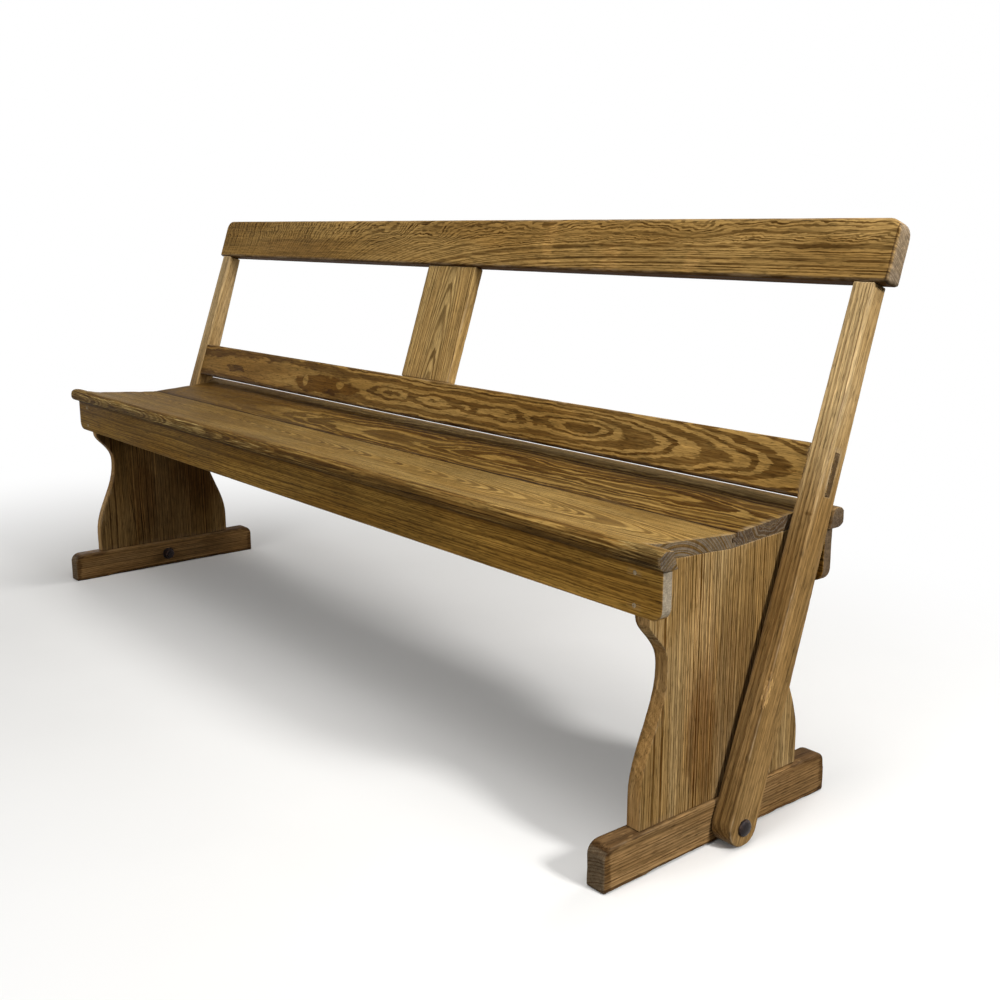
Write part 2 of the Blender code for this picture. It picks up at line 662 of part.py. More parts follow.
def make_top_rail(bench):
    """The top rail, with rounded upper corners, on the tenons of the arms and the slat."""
    corner_centre = (TOP_RAIL_END_X - TOP_RAIL_CORNER, TOP_RAIL_TOP - TOP_RAIL_CORNER)
    corner = arc(corner_centre, TOP_RAIL_CORNER, 0, pi / 2, CORNER_STEPS)
    outline = mirrored([(TOP_RAIL_END_X, ARM_LENGTH)] + corner)
    mesh = outline_mesh("top_rail", outline, TOP_RAIL_THICKNESS, FRONT_PLANE)
    rail = bench.place("top_rail", mesh, bench.back, "rail_pine")
    ease_edges(rail, TOP_RAIL_EASE)
    depth = ARM_TENON_DEPTH + MORTISE_END_GAP
    size = (
        ARM_TENON_WIDTH + 2 * MORTISE_GAP,
        ARM_TENON_THICKNESS + 2 * MORTISE_GAP,
        depth + CUT_MARGIN,
    )
    for side, x_sign in SIDES.items():
        location = (x_sign * ARM_X, 0, ARM_LENGTH + depth - size[2] / 2)
        cut(rail, socket(bench, f"top_rail_mortise_{side}", bench.back, size, location))
    cut(rail, slat_socket(bench, "top_rail_mortise_slat", ARM_LENGTH, 1))
    smooth(rail)


def slat_socket(bench, name, face_height, direction):
    """A mortise for a tenon of the slat, into a rail's face, upwards or downwards."""
    depth = SLAT_TENON_DEPTH + MORTISE_END_GAP
    size = (
        SLAT_TENON_WIDTH + 2 * MORTISE_GAP,
        SLAT_TENON_THICKNESS + 2 * MORTISE_GAP,
        depth + CUT_MARGIN,
    )
    middle = face_height + direction * (depth - size[2] / 2)
    return socket(bench, name, bench.back, size, (0, 0, middle))


def make_lower_rail(bench):
    """The lower rail, with tenons that show on the outer faces of the arms."""
    length = 2 * (ARM_INNER_X - FACE_GAP)
    size = (length, LOWER_RAIL_THICKNESS, LOWER_RAIL_HEIGHT)
    location = (0, 0, LOWER_RAIL_MIDDLE)
    rail = bench.place("lower_rail", box_mesh("lower_rail", size), bench.back, "rail_pine", location)
    ease_edges(rail, LOWER_RAIL_EASE)
    reach = ARM_OUTER_X + LOWER_TENON_PROUD
    tenon_size = (2 * reach, LOWER_TENON_THICKNESS, LOWER_TENON_HEIGHT)
    join(rail, socket(bench, "lower_rail_tenons", bench.back, tenon_size, location))
    cut(rail, slat_socket(bench, "lower_rail_mortise_slat", LOWER_RAIL_TOP, -1))
    smooth(rail)


def make_slat(bench):
    """The wide slat in the middle of the back, tenoned into both rails."""
    bottom = LOWER_RAIL_TOP + FACE_GAP
    top = ARM_LENGTH - FACE_GAP
    middle = (top + bottom) / 2
    mesh = box_mesh("centre_slat", (SLAT_WIDTH, SLAT_THICKNESS, top - bottom))
    slat = bench.place("centre_slat", mesh, bench.back, "slat_pine", (0, 0, middle))
    ease_edges(slat, SLAT_EASE)
    height = ARM_LENGTH - LOWER_RAIL_TOP + 2 * SLAT_TENON_DEPTH
    tenon_size = (SLAT_TENON_WIDTH, SLAT_TENON_THICKNESS, height)
    join(slat, socket(bench, "centre_slat_tenons", bench.back, tenon_size, (0, 0, middle)))
    smooth(slat)


def bolt_profile(length):
    """A domed head with a thin rim on a round shank, from the top of the dome down."""
    rim = BOLT_HEAD_DIAMETER / 2
    dome = BOLT_HEAD_HEIGHT - BOLT_HEAD_RIM
    points = []
    for step in range(DOME_STEPS + 1):
        angle = pi / 2 * step / DOME_STEPS
        points.append((rim * sin(angle), BOLT_HEAD_RIM + dome * cos(angle)))
    shank = BOLT_DIAMETER / 2
    return points + [(rim, 0), (shank, 0), (shank, -length), (0, -length)]


def ring_profile(outer, thickness):
    """A washer's section, which fits round a pivot bolt."""
    inner = BOLT_DIAMETER / 2 + BORE_GAP
    half = thickness / 2
    return [(outer / 2, half), (outer / 2, -half), (inner, -half), (inner, half)]


def make_pivot(bench, side, x_sign):
    """A domed bolt through arm and foot, with a spacer, a washer and a nut."""
    rotation = (0, x_sign * pi / 2, 0)
    spacer_x = FOOT_OUTER_X + FACE_GAP + SPACER_THICKNESS / 2
    washer_x = FOOT_INNER_X - FACE_GAP - WASHER_THICKNESS / 2
    nut_x = washer_x - WASHER_THICKNESS / 2 - FACE_GAP - NUT_THICKNESS / 2
    head_x = ARM_OUTER_X + FACE_GAP
    length = head_x - nut_x + NUT_THICKNESS / 2 + BOLT_TAIL
    turned = {
        "pivot_bolt": (profile_mesh("pivot_bolt", bolt_profile(length), False), head_x),
        "pivot_spacer": (
            profile_mesh("pivot_spacer", ring_profile(SPACER_DIAMETER, SPACER_THICKNESS), True),
            spacer_x,
        ),
        "pivot_washer": (
            profile_mesh("pivot_washer", ring_profile(WASHER_DIAMETER, WASHER_THICKNESS), True),
            washer_x,
        ),
    }
    for kind, (mesh, x) in turned.items():
        location = (x_sign * x, 0, PIVOT_HEIGHT)
        piece = bench.place(f"{kind}_{side}", mesh, bench.frame, "dark_iron", location, rotation)
        smooth(turn(piece, TURNED_STEPS))
    make_nut(bench, side, (x_sign * nut_x, 0, PIVOT_HEIGHT), rotation)


def make_nut(bench, side, location, rotation):
    name = f"pivot_nut_{side}"
    made = bmesh.new()
    radius = NUT_WIDTH / 2 / cos(pi / NUT_SIDES)
    bmesh.ops.create_cone(
        made, cap_ends=True, segments=NUT_SIDES, radius1=radius, radius2=radius, depth=NUT_THICKNESS
    )
    mesh = bpy.data.meshes.new(name)
    made.to_mesh(mesh)
    made.free()
    nut = bench.place(name, mesh, bench.frame, "dark_iron", location, rotation)
    ease_edges(nut, NUT_EASE)
    cut(nut, bolt_bore(bench, f"{name}_bore", bench.frame, location))


def main():
    clear_scene()
    bench = Bench()
    nail_bores = make_nails(bench)
    for side, x_sign in SIDES.items():
        make_foot(bench, side, x_sign)
        make_panel(bench, side, x_sign, nail_bores[side])
        make_pivot(bench, side, x_sign)
        make_arm(bench, side, x_sign)
    for face, y_sign in FACES.items():
        make_apron(bench, face, y_sign, nail_bores[face])
    make_seat(bench)
    make_glue_blocks(bench)
    make_top_rail(bench)
    make_lower_rail(bench)
    make_slat(bench)


main()
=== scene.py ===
"""Looks of the chapel bench: worn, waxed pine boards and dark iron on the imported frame."""

import json
from math import cos, radians, sin

import bmesh
import bpy
from mathutils import Matrix, Vector, noise

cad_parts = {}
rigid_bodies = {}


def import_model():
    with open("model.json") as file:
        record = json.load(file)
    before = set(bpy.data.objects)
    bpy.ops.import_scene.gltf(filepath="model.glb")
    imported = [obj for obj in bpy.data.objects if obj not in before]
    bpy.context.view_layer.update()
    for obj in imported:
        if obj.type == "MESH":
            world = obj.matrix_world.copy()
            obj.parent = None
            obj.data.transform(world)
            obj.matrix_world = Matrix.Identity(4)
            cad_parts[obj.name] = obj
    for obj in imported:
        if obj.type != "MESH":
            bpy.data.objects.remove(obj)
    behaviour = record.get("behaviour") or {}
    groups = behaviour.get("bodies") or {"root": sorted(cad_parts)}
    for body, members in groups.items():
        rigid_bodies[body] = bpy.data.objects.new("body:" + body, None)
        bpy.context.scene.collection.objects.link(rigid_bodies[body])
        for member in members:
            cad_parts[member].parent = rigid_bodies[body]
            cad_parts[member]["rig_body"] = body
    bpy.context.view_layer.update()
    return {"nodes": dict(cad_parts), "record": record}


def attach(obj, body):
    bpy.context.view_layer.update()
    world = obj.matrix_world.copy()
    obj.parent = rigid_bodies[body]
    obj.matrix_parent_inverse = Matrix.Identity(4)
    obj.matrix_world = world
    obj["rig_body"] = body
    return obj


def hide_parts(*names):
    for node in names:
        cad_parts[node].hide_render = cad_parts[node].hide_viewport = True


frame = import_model()
NODES = frame["nodes"]

# Axes of the bench and of its leaning back
ALONG = Vector((1, 0, 0))
REARWARD = Vector((0, 1, 0))
UPWARD = Vector((0, 0, 1))
SWING = frame["record"]["behaviour"]["joints"][0]["range_deg"]
BACK_TILT = radians(SWING[1]) / 2
UP_THE_BACK = Vector((0, sin(BACK_TILT), cos(BACK_TILT)))

# Meshes: corners this close are one, faces this level are one, and sharper edges stay sharp
WELD = 0.00001
FLAT_ANGLE = radians(0.6)
SMOOTH_ANGLE = radians(52)
# Boards are cut into rows this wide, and the outermost cuts lie this far inside
ROW = 0.012
ROW_MARGIN = 0.006
# Wear: off the edges, in the deepest chips, and where the faces undulate
EDGE_WEAR = 0.0006
CHIP_DEPTH = 0.0015
UNDULATION = 0.00012
# An edge wears from this bend on, and fully after this much more (radians)
EASED, EASED_SPAN = 0.30, 0.48
# Spots of slow rubbing, of quick rubbing and dents, and of the undulation
SLOW_SPOT = (0.070, 0.030, 0.030)
QUICK_SPOT = (0.016, 0.012, 0.012)
FACE_SPOT = (0.12, 0.035, 0.035)
# Rubbing: its mean, and what slow and quick noise add; dents start past a level of the noise
RUB_MEAN, SLOW_RUB, QUICK_RUB = 0.45, 0.9, 0.35
DENT_START, SLOW_DENT = 0.32, 0.5

# Strength of the white surroundings as light; where they are seen it is 1
AMBIENT = 0.065
# Lamps: name, place, aim, width and height, watts
LAMPS = (
    ("top_light", (1.0, -0.6, 3.0), (0.25, 0.0, 0.3), (2.4, 2.0), 60),
    ("right_light", (3.4, 0.20, 1.9), (0.75, 0.0, 0.45), (0.5, 0.5), 85),
    ("front_light", (0.8, -3.8, 1.6), (0.0, 0.0, 0.45), (2.0, 1.8), 52),
    ("left_light", (-3.0, 0.1, 0.30), (-0.8, 0.0, 0.30), (1.2, 0.5), 22),
    ("back_light", (0.4, 3.8, 1.6), (0.0, 0.0, 0.35), (2.4, 1.8), 80),
)
# Sockets of the Mix node for colours
MIX_FACTOR, MIX_FIRST, MIX_SECOND, MIX_RESULT = 0, 6, 7, 2


class Tree:
    """Short ways to add nodes to the tree of a material or a world."""

    def __init__(self, owner):
        owner.use_nodes = True
        self.nodes = owner.node_tree.nodes
        self.links = owner.node_tree.links
        self.nodes.clear()

    def put(self, socket, value):
        """Links a socket to another one, or sets it to a constant."""
        if isinstance(value, bpy.types.NodeSocket):
            self.links.new(value, socket)
        else:
            socket.default_value = value

    def fill(self, node, values):
        """Links or sets the first inputs of a node, in order."""
        for socket, value in zip(node.inputs, values):
            self.put(socket, value)
        return node

    def math(self, operation, *values):
        node = self.nodes.new("ShaderNodeMath")
        node.operation = operation
        return self.fill(node, values).outputs[0]

    def chain(self, operation, values):
        """Several values joined by one operation."""
        result = values[0]
        for value in values[1:]:
            result = self.math(operation, result, value)
        return result

    def vector(self, operation, *values):
        node = self.nodes.new("ShaderNodeVectorMath")
        node.operation = operation
        self.fill(node, values)
        scalar = operation in ("DOT_PRODUCT", "LENGTH")
        return node.outputs["Value" if scalar else "Vector"]

    def noise(self, place, size, detail=2.0, roughness=0.5, shift=0.0):
        """Smooth noise from 0 to 1 whose spots have the given size along each axis."""
        scale = tuple(1 / part for part in size)
        offset = (shift, shift * 0.7 + 3.1, shift * 1.3 - 5.7)
        node = self.nodes.new("ShaderNodeTexNoise")
        node.inputs["Scale"].default_value = 1.0
        node.inputs["Detail"].default_value = detail
        node.inputs["Roughness"].default_value = roughness
        self.put(node.inputs["Vector"], self.vector("MULTIPLY_ADD", place, scale, offset))
        return node.outputs["Fac"]

    def swing(self, place, size, reach, detail=1.0, shift=0.0):
        """Noise from about -reach to reach."""
        value = self.noise(place, size, detail, 0.5, shift)
        return self.math("MULTIPLY_ADD", value, 2 * reach, -reach)

    def vary(self, value, span):
        """Noise from 0 to 1 as a factor around 1."""
        return self.math("MULTIPLY_ADD", value, span, 1 - span / 2)

    def step(self, value, low, high, start=0.0, end=1.0):
        """A smooth step from start to end as the value goes from low to high."""
        node = self.nodes.new("ShaderNodeMapRange")
        node.interpolation_type = "SMOOTHSTEP"
        return self.fill(node, (value, low, high, start, end)).outputs[0]

    def mix(self, factor, first, second):
        node = self.nodes.new("ShaderNodeMix")
        node.data_type = "RGBA"
        self.put(node.inputs[MIX_FACTOR], factor)
        self.put(node.inputs[MIX_FIRST], first)
        self.put(node.inputs[MIX_SECOND], second)
        return node.outputs[MIX_RESULT]

    def combine(self, *parts):
        node = self.nodes.new("ShaderNodeCombineXYZ")
        return self.fill(node, parts).outputs[0]

    def split(self, vector):
        node = self.nodes.new("ShaderNodeSeparateXYZ")
        return tuple(self.fill(node, (vector,)).outputs)

    def shade(self, colour, factor):
        """A colour times a number."""
        return self.vector("MULTIPLY", colour, self.combine(factor, factor, factor))

    def attribute(self, name):
        node = self.nodes.new("ShaderNodeAttribute")
        node.attribute_name = name
        return node.outputs["Fac"]

    def hill(self, place, centre, size, height):
        """A rounded hill of the given height, by distance from its centre in sizes."""
        offset = self.vector("SUBTRACT", place, centre)
        scaled = self.vector("DIVIDE", offset, size)
        square = self.vector("DOT_PRODUCT", scaled, scaled)
        fall = self.math("EXPONENT", self.math("MULTIPLY", square, -1.0))
        return self.math("MULTIPLY", fall, height)

    def seen(self):
        """1 for rays from the camera, a mirror or glass, else 0."""
        path = self.nodes.new("ShaderNodeLightPath").outputs
        mirrored = self.math("MAXIMUM", path["Is Glossy Ray"], path["Is Transmission Ray"])
        return self.math("MAXIMUM", path["Is Camera Ray"], mirrored)

    def surroundings(self):
        """Strength of the white surroundings: full where they are seen, low where they light."""
        return self.step(self.seen(), 0.0, 1.0, AMBIENT, 1.0)


class Surface(Tree):
    """A material with one principled shader."""

    def __init__(self, name):
        self.material = bpy.data.materials.new(name)
        super().__init__(self.material)
        self.output = self.nodes.new("ShaderNodeOutputMaterial")
        self.shader = self.nodes.new("ShaderNodeBsdfPrincipled")
        self.links.new(self.shader.outputs["BSDF"], self.output.inputs["Surface"])

    def give(self, name, value):
        """Links or sets an input of the shader."""
        self.put(self.shader.inputs[name], value)

    def bump(self, height, strength, distance):
        node = self.nodes.new("ShaderNodeBump")
        node.inputs["Strength"].default_value = strength
        node.inputs["Distance"].default_value = distance
        self.links.new(height, node.inputs["Height"])
        self.give("Normal", node.outputs["Normal"])


def rgba(red, green, blue):
    return (red, green, blue, 1.0)


GOLD = rgba(0.350, 0.212, 0.070)
HONEY = rgba(0.270, 0.152, 0.043)
UMBER = rgba(0.070, 0.029, 0.0045)
DEEP_UMBER = rgba(0.054, 0.022, 0.003)
WORN = rgba(0.46, 0.34, 0.20)
GREY_END = rgba(0.260, 0.205, 0.140)
# Tone of the dark line where the seat's boards meet
SEAT_JOINT = (0.30, 0.26, 0.24)

# A size this large lets a stain or a hill run through the whole board.
EVERYWHERE = 9.0

# The colours of a board, and how its rings, stains and wear run. Places and sizes are in metres
# along the board (first), across its face (second) and through it (third), from its middle.
PLAIN_PINE = {
    # Early wood, which varies towards the tint, and late wood
    "early": GOLD,
    "tint": HONEY,
    "late": UMBER,
    # End grain: its colour, the strength and number of its lines, its share of the end faces
    "end": GREY_END,
    "end_lines": 0.75,
    "end_rings": 1.0,
    "end_share": 0.8,
    # Rings: the heart of the log, how it runs off along the board, and the width of a ring
    "pith": (0.15, -0.05),
    "drift": (0.0, 0.0),
    "spacing": 0.0036,
    # Waves of the rings, counted in rings, and hills that push rings aside in one place
    "wander": 0.6,
    "wander_size": (0.35, 0.05, 0.05),
    "wander_detail": 1.5,
    "wander_fade": None,
    "shear": 0.0,
    "jag": 0.16,
    "hills": (),
    # Late wood: where in a ring it starts, is full and ends, how strong it is, what weakens it
    "band": (0.30, 0.78, 0.93),
    "contrast": 0.85,
    "ring_vary": 0.55,
    "breaks": 0.25,
    "edge_calm": 0.5,
    "calm_spots": (),
    # Blotches, painted light on the narrow faces, stains, and the paler wood of worn edges
    "blotch": 0.16,
    "edge_tone": None,
    "stains": (),
    "worn": WORN,
    "wear": 0.75,
    "seed": 0.0,
}

# The noises of every board: size of the spots, detail, roughness, and a shift that keeps them apart
GRAIN_NOISES = {
    "gap": ((0.060, 0.0045, 0.0045), 2.0, 0.5, 61),
    "hue": ((0.30, 0.05, 0.05), 2.0, 0.55, 21),
    "fibre": ((0.032, 0.0017, 0.0017), 3.0, 0.65, 33),
    "streak": ((0.26, 0.0055, 0.0055), 2.0, 0.5, 41),
    "cloud": ((0.16, 0.055, 0.055), 2.5, 0.55, 57),
    "dash": ((0.016, 0.0015, 0.0015), 2.0, 0.5, 71),
    "rub": ((0.028, 0.010, 0.010), 3.0, 0.6, 83),
}
JAG_SIZE, JAG_SHIFT = (0.030, 0.0022, 0.0022), 9
STAIN_SHIFT, NEXT_STAIN = 83, 7
# Rings are of uneven width: by how many rings, and how often per ring
UNEVEN_RINGS, UNEVEN_RATE = 1.3, 0.45
# How strongly fibres and streaks vary the colour
FIBRE_SPAN, STREAK_SPAN = 1.30, 1.10
# Steps on the other noises: from low to high, and for some the factors there
HUE_STEP = (0.35, 0.65)
GAP_STEP = (0.46, 0.60)
DARK_DASHES = (0.55, 0.68, 1.0, 0.52)
PALE_DASHES = (0.30, 0.42, 1.20, 1.0)
RUBBED = (0.38, 0.62, 0.25, 1.0)
# How far a face has to turn towards the edge or the end of a board to count as that
EDGE_TURN = (0.6, 0.95)
END_TURN = (0.55, 0.95)
END_WEAR = 0.2
# Wax: roughness, what clouds, wear and late wood add to it, sheen, and the relief of the grain
WAX_ROUGHNESS, CLOUD_ROUGHNESS, WORN_ROUGHNESS, LATE_ROUGHNESS = 0.50, 0.24, 0.18, -0.07
WAX_SHEEN = 0.02
RING_RELIEF, FIBRE_RELIEF = 0.55, 0.6
RELIEF_STRENGTH, RELIEF_DEPTH = 0.75, 0.0004


def extent(along=EVERYWHERE, across=EVERYWHERE, through=EVERYWHERE):
    """The size of a stain, which runs through the board wherever no size is given."""
    return (along, across, through)


def stain(centre, size, tone, ragged=0.9, spot=(0.028, 0.010), lean=0.0, soft=0.2):
    """A darker or paler place on a board: its tone multiplies the colour of the wood.

    Noise in spots breaks its outline, raggedly or not, and it may lean along the board.
    """
    along, across, through = centre
    return {
        "centre": (along, across - lean * along, through),
        "size": size,
        "tone": tone,
        "ragged": ragged,
        "spot": spot,
        "lean": lean,
        "soft": soft,
    }


def add_stain(tree, place, colour, mark, shift):
    """A colour with one stain on it, whose outline is broken by noise."""
    long, wide = mark["spot"]
    along = tree.split(place)[0]
    along = tree.combine(along, along, along)
    slanted = tree.vector("MULTIPLY_ADD", along, (0.0, -mark["lean"], 0.0), place)
    reach = tree.hill(slanted, mark["centre"], mark["size"], 1.0)
    broken = tree.swing(place, (long, wide, wide), mark["ragged"], 3.0, shift)
    mask = tree.math("MULTIPLY_ADD", reach, broken, reach)
    toned = tree.vector("MULTIPLY", colour, mark["tone"])
    return tree.mix(tree.step(mask, 0.5 - mark["soft"], 0.5 + mark["soft"]), colour, toned)


def grain_noise(tree, place, kind, seed):
    size, detail, roughness, shift = GRAIN_NOISES[kind]
    return tree.noise(place, size, detail, roughness, seed + shift)


def ring_count(tree, along, across, through, look):
    """How many even rings lie between the heart of the log and a point of the board."""
    pith_across, pith_through = look["pith"]
    drift_across, drift_through = look["drift"]
    side = tree.math("SUBTRACT", across, pith_across)
    side = tree.math("SUBTRACT", side, tree.math("MULTIPLY", along, drift_across))
    depth = tree.math("SUBTRACT", through, pith_through)
    depth = tree.math("SUBTRACT", depth, tree.math("MULTIPLY", along, drift_through))
    square = tree.math("MULTIPLY_ADD", side, side, tree.math("MULTIPLY", depth, depth))
    return tree.math("DIVIDE", tree.math("SQRT", square), look["spacing"])


def ring_phase(tree, place, look):
    """The ring that a point of the board lies in, with waves, hills and rings of uneven width."""
    along, across, through = tree.split(place)
    skewed = tree.math("MULTIPLY_ADD", across, -look["shear"], along)
    skew = tree.combine(skewed, across, through)
    waves = (look["wander_size"], look["wander"], look["wander_detail"], look["seed"])
    wander = tree.swing(skew, *waves)
    if look["wander_fade"]:
        wander = tree.math("MULTIPLY", wander, tree.step(across, *look["wander_fade"]))
    jag = tree.swing(place, JAG_SIZE, look["jag"], 2.0, look["seed"] + JAG_SHIFT)
    parts = [ring_count(tree, along, across, through, look), wander, jag]
    for centre, size, height in look["hills"]:
        parts.append(tree.hill(place, (*centre, 0.0), (*size, 1.0), height))
    phase = tree.chain("ADD", parts)
    uneven = tree.nodes.new("ShaderNodeTexNoise")
    uneven.noise_dimensions = "1D"
    uneven.inputs["Detail"].default_value = 0.0
    uneven.inputs["Scale"].default_value = UNEVEN_RATE
    tree.links.new(phase, uneven.inputs["W"])
    return tree.math("MULTIPLY_ADD", uneven.outputs["Fac"], UNEVEN_RINGS, phase)


def late_wood(tree, phase, look):
    """The dark late wood of each ring: a slow start, a sharp end, and a strength of its own."""
    part = tree.math("FRACT", phase)
    start, full, end = look["band"]
    rise = tree.step(part, start, full)
    fall = tree.step(part, end, 1.0, 1.0, 0.0)
    chance = tree.nodes.new("ShaderNodeTexWhiteNoise")
    chance.noise_dimensions = "1D"
    tree.links.new(tree.math("FLOOR", phase), chance.inputs["W"])
    vary = look["ring_vary"]
    strength = tree.math("MULTIPLY_ADD", chance.outputs["Value"], vary, 1 - vary)
    return tree.chain("MULTIPLY", (rise, fall, strength))


def face_colour(tree, place, late, edge_on, look):
    """Early and late wood, with less difference where the board is calm."""
    hue = grain_noise(tree, place, "hue", look["seed"])
    colour = tree.mix(tree.step(hue, *HUE_STEP), look["early"], look["tint"])
    full = look["contrast"]
    calm = tree.step(edge_on, *EDGE_TURN, full, full * look["edge_calm"])
    for centre, size, loss in look["calm_spots"]:
        dip = tree.hill(place, (*centre, 0.0), (*size, 1.0), -loss)
        calm = tree.math("MULTIPLY_ADD", calm, dip, calm)
    return tree.mix(tree.math("MULTIPLY", late, calm), colour, look["late"])


def add_dashes(tree, place, colour, seed):
    """Short dark and pale dashes along the fibres."""
    dash = grain_noise(tree, place, "dash", seed)
    colour = tree.shade(colour, tree.step(dash, *DARK_DASHES))
    return tree.shade(colour, tree.step(dash, *PALE_DASHES))


def add_end_grain(tree, colour, phase, level, end_on, look):
    share = tree.step(end_on, *END_TURN, 0.0, look["end_share"])
    late = late_wood(tree, tree.math("MULTIPLY", phase, look["end_rings"]), look)
    tone = tree.mix(tree.math("MULTIPLY", late, look["end_lines"]), look["end"], look["late"])
    return tree.mix(share, colour, tree.shade(tone, level))


def worn_share(tree, place, end_on, seed):
    """How far the edges are rubbed: in patches, and less on end grain."""
    patches = tree.step(grain_noise(tree, place, "rub", seed), *RUBBED)
    on_ends = tree.step(end_on, *END_TURN, 1.0, END_WEAR)
    return tree.chain("MULTIPLY", (tree.attribute("wear"), patches, on_ends))


def wax(tree, late, fibre, cloud, wear):
    """The sheen of old wax, and the relief of rings and fibres."""
    rough = tree.math("MULTIPLY_ADD", cloud, CLOUD_ROUGHNESS, WAX_ROUGHNESS)
    rough = tree.math("MULTIPLY_ADD", wear, WORN_ROUGHNESS, rough)
    tree.give("Roughness", tree.math("MULTIPLY_ADD", late, LATE_ROUGHNESS, rough))
    tree.give("Specular IOR Level", WAX_SHEEN)
    fine = tree.math("MULTIPLY", fibre, FIBRE_RELIEF)
    relief = tree.math("MULTIPLY_ADD", late, RING_RELIEF, fine)
    tree.bump(relief, RELIEF_STRENGTH, RELIEF_DEPTH)


def pine(name, **changes):
    """Waxed old pine: growth rings cut by the board's own faces, with fibres, stains and wear."""
    look = {**PLAIN_PINE, **changes}
    seed = look["seed"]
    tree = Surface(name)
    coordinates = tree.nodes.new("ShaderNodeTexCoord").outputs
    place = coordinates["Object"]
    end_normal, edge_normal, _ = tree.split(coordinates["Normal"])
    end_on = tree.math("ABSOLUTE", end_normal)
    edge_on = tree.math("ABSOLUTE", edge_normal)
    phase = ring_phase(tree, place, look)
    gaps = grain_noise(tree, place, "gap", seed)
    unbroken = tree.step(gaps, *GAP_STEP, 1.0, 1 - look["breaks"])
    late = tree.math("MULTIPLY", late_wood(tree, phase, look), unbroken)

    colour = face_colour(tree, place, late, edge_on, look)
    fibre = grain_noise(tree, place, "fibre", seed)
    streak = grain_noise(tree, place, "streak", seed)
    cloud = grain_noise(tree, place, "cloud", seed)
    spans = ((fibre, FIBRE_SPAN), (streak, STREAK_SPAN), (cloud, 4 * look["blotch"]))
    level = tree.chain("MULTIPLY", [tree.vary(value, span) for value, span in spans])
    colour = add_dashes(tree, place, tree.shade(colour, level), seed)
    # Painted light: the narrow faces made paler by a tone of their own
    if look["edge_tone"]:
        lit_edge_colour = tree.vector("MULTIPLY", colour, look["edge_tone"])
        colour = tree.mix(tree.step(edge_on, *EDGE_TURN), colour, lit_edge_colour)
    for number, mark in enumerate(look["stains"]):
        colour = add_stain(tree, place, colour, mark, seed + STAIN_SHIFT + NEXT_STAIN * number)
    colour = add_end_grain(tree, colour, phase, level, end_on, look)
    wear = worn_share(tree, place, end_on, seed)
    colour = tree.mix(tree.math("MULTIPLY", wear, look["wear"]), colour, look["worn"])
    tree.give("Base Color", colour)
    wax(tree, late, fibre, cloud, wear)
    return tree.material


def iron(name, base, rust, shine):
    """Old iron: pitted, with rust in the hollows and a polish on the high spots."""
    pit, cloud_size, polish = 0.0022, 0.008, 0.22
    dull = 0.95 - 0.5 * shine
    tree = Surface(name)
    place = tree.nodes.new("ShaderNodeTexCoord").outputs["Object"]
    pits = tree.noise(place, (pit, pit, pit), 4.0, 0.6, 2.0)
    cloud = tree.noise(place, (cloud_size, cloud_size, cloud_size), 2.0, 0.5, 11.0)
    colour = tree.mix(tree.step(cloud, 0.42, 0.66), base, rust)
    tree.give("Base Color", tree.shade(colour, tree.vary(pits, 1.2)))
    tree.give("Roughness", tree.step(pits, 0.3, 0.7, dull, dull - polish))
    tree.give("Specular IOR Level", 0.5 * shine)
    tree.give("Metallic", tree.step(cloud, 0.4, 0.7, shine, 0.4 * shine))
    tree.bump(pits, 0.5, RELIEF_DEPTH)
    return tree.material


def beyond(part, axis, place):
    """Whether any corner of a vertex, edge or face lies past a place on an axis."""
    corners = (part,) if isinstance(part, bmesh.types.BMVert) else part.verts
    return any(corner.co[axis] > place + WELD for corner in corners)


def slice_across(body, axis, places):
    """Cuts a mesh with planes across one axis, so that it can wear between its corners."""
    normal = Vector((0, 0, 0))
    normal[axis] = 1
    rest = body.verts[:] + body.edges[:] + body.faces[:]
    for place in sorted(places):
        made = bmesh.ops.bisect_plane(
            body, geom=rest, dist=WELD / 10, plane_co=normal * place, plane_no=normal
        )
        rest = [part for part in made["geom"] if beyond(part, axis, place)]


def rows(half, step):
    """Places of the cuts: one near each end and even ones between."""
    first, last = -half + ROW_MARGIN, half - ROW_MARGIN
    count = max(int(round((last - first) / step)), 1)
    return [first + (last - first) * index / count for index in range(count + 1)]


def clamp(value):
    return min(max(value, 0.0), 1.0)


def smooth_noise(place, size, shift):
    scaled = Vector((place.x / size[0], place.y / size[1], place.z / size[2]))
    return noise.noise(scaled + Vector((shift, shift * 1.7, -shift * 0.6)))


def wear_down(body, amount, chips, seed):
    """Wears the eased edges back unevenly and lets the faces undulate, always into the wood."""
    body.normal_update()
    wear = body.verts.layers.float.new("wear")
    moves = []
    for vertex in body.verts:
        bend = max((edge.calc_face_angle(0.0) for edge in vertex.link_edges), default=0.0)
        edge = clamp((bend - EASED) / EASED_SPAN)
        slow = smooth_noise(vertex.co, SLOW_SPOT, seed)
        quick = smooth_noise(vertex.co, QUICK_SPOT, seed + 5)
        rub = clamp(RUB_MEAN + SLOW_RUB * slow + QUICK_RUB * quick)
        dent = max(quick + SLOW_DENT * slow - DENT_START, 0.0)
        flat = 0.5 + 0.5 * smooth_noise(vertex.co, FACE_SPOT, seed + 11)
        depth = edge * (amount * rub + chips * dent) + UNDULATION * flat
        moves.append((vertex, vertex.normal * depth))
        vertex[wear] = edge * rub
    for vertex, move in moves:
        vertex.co -= move


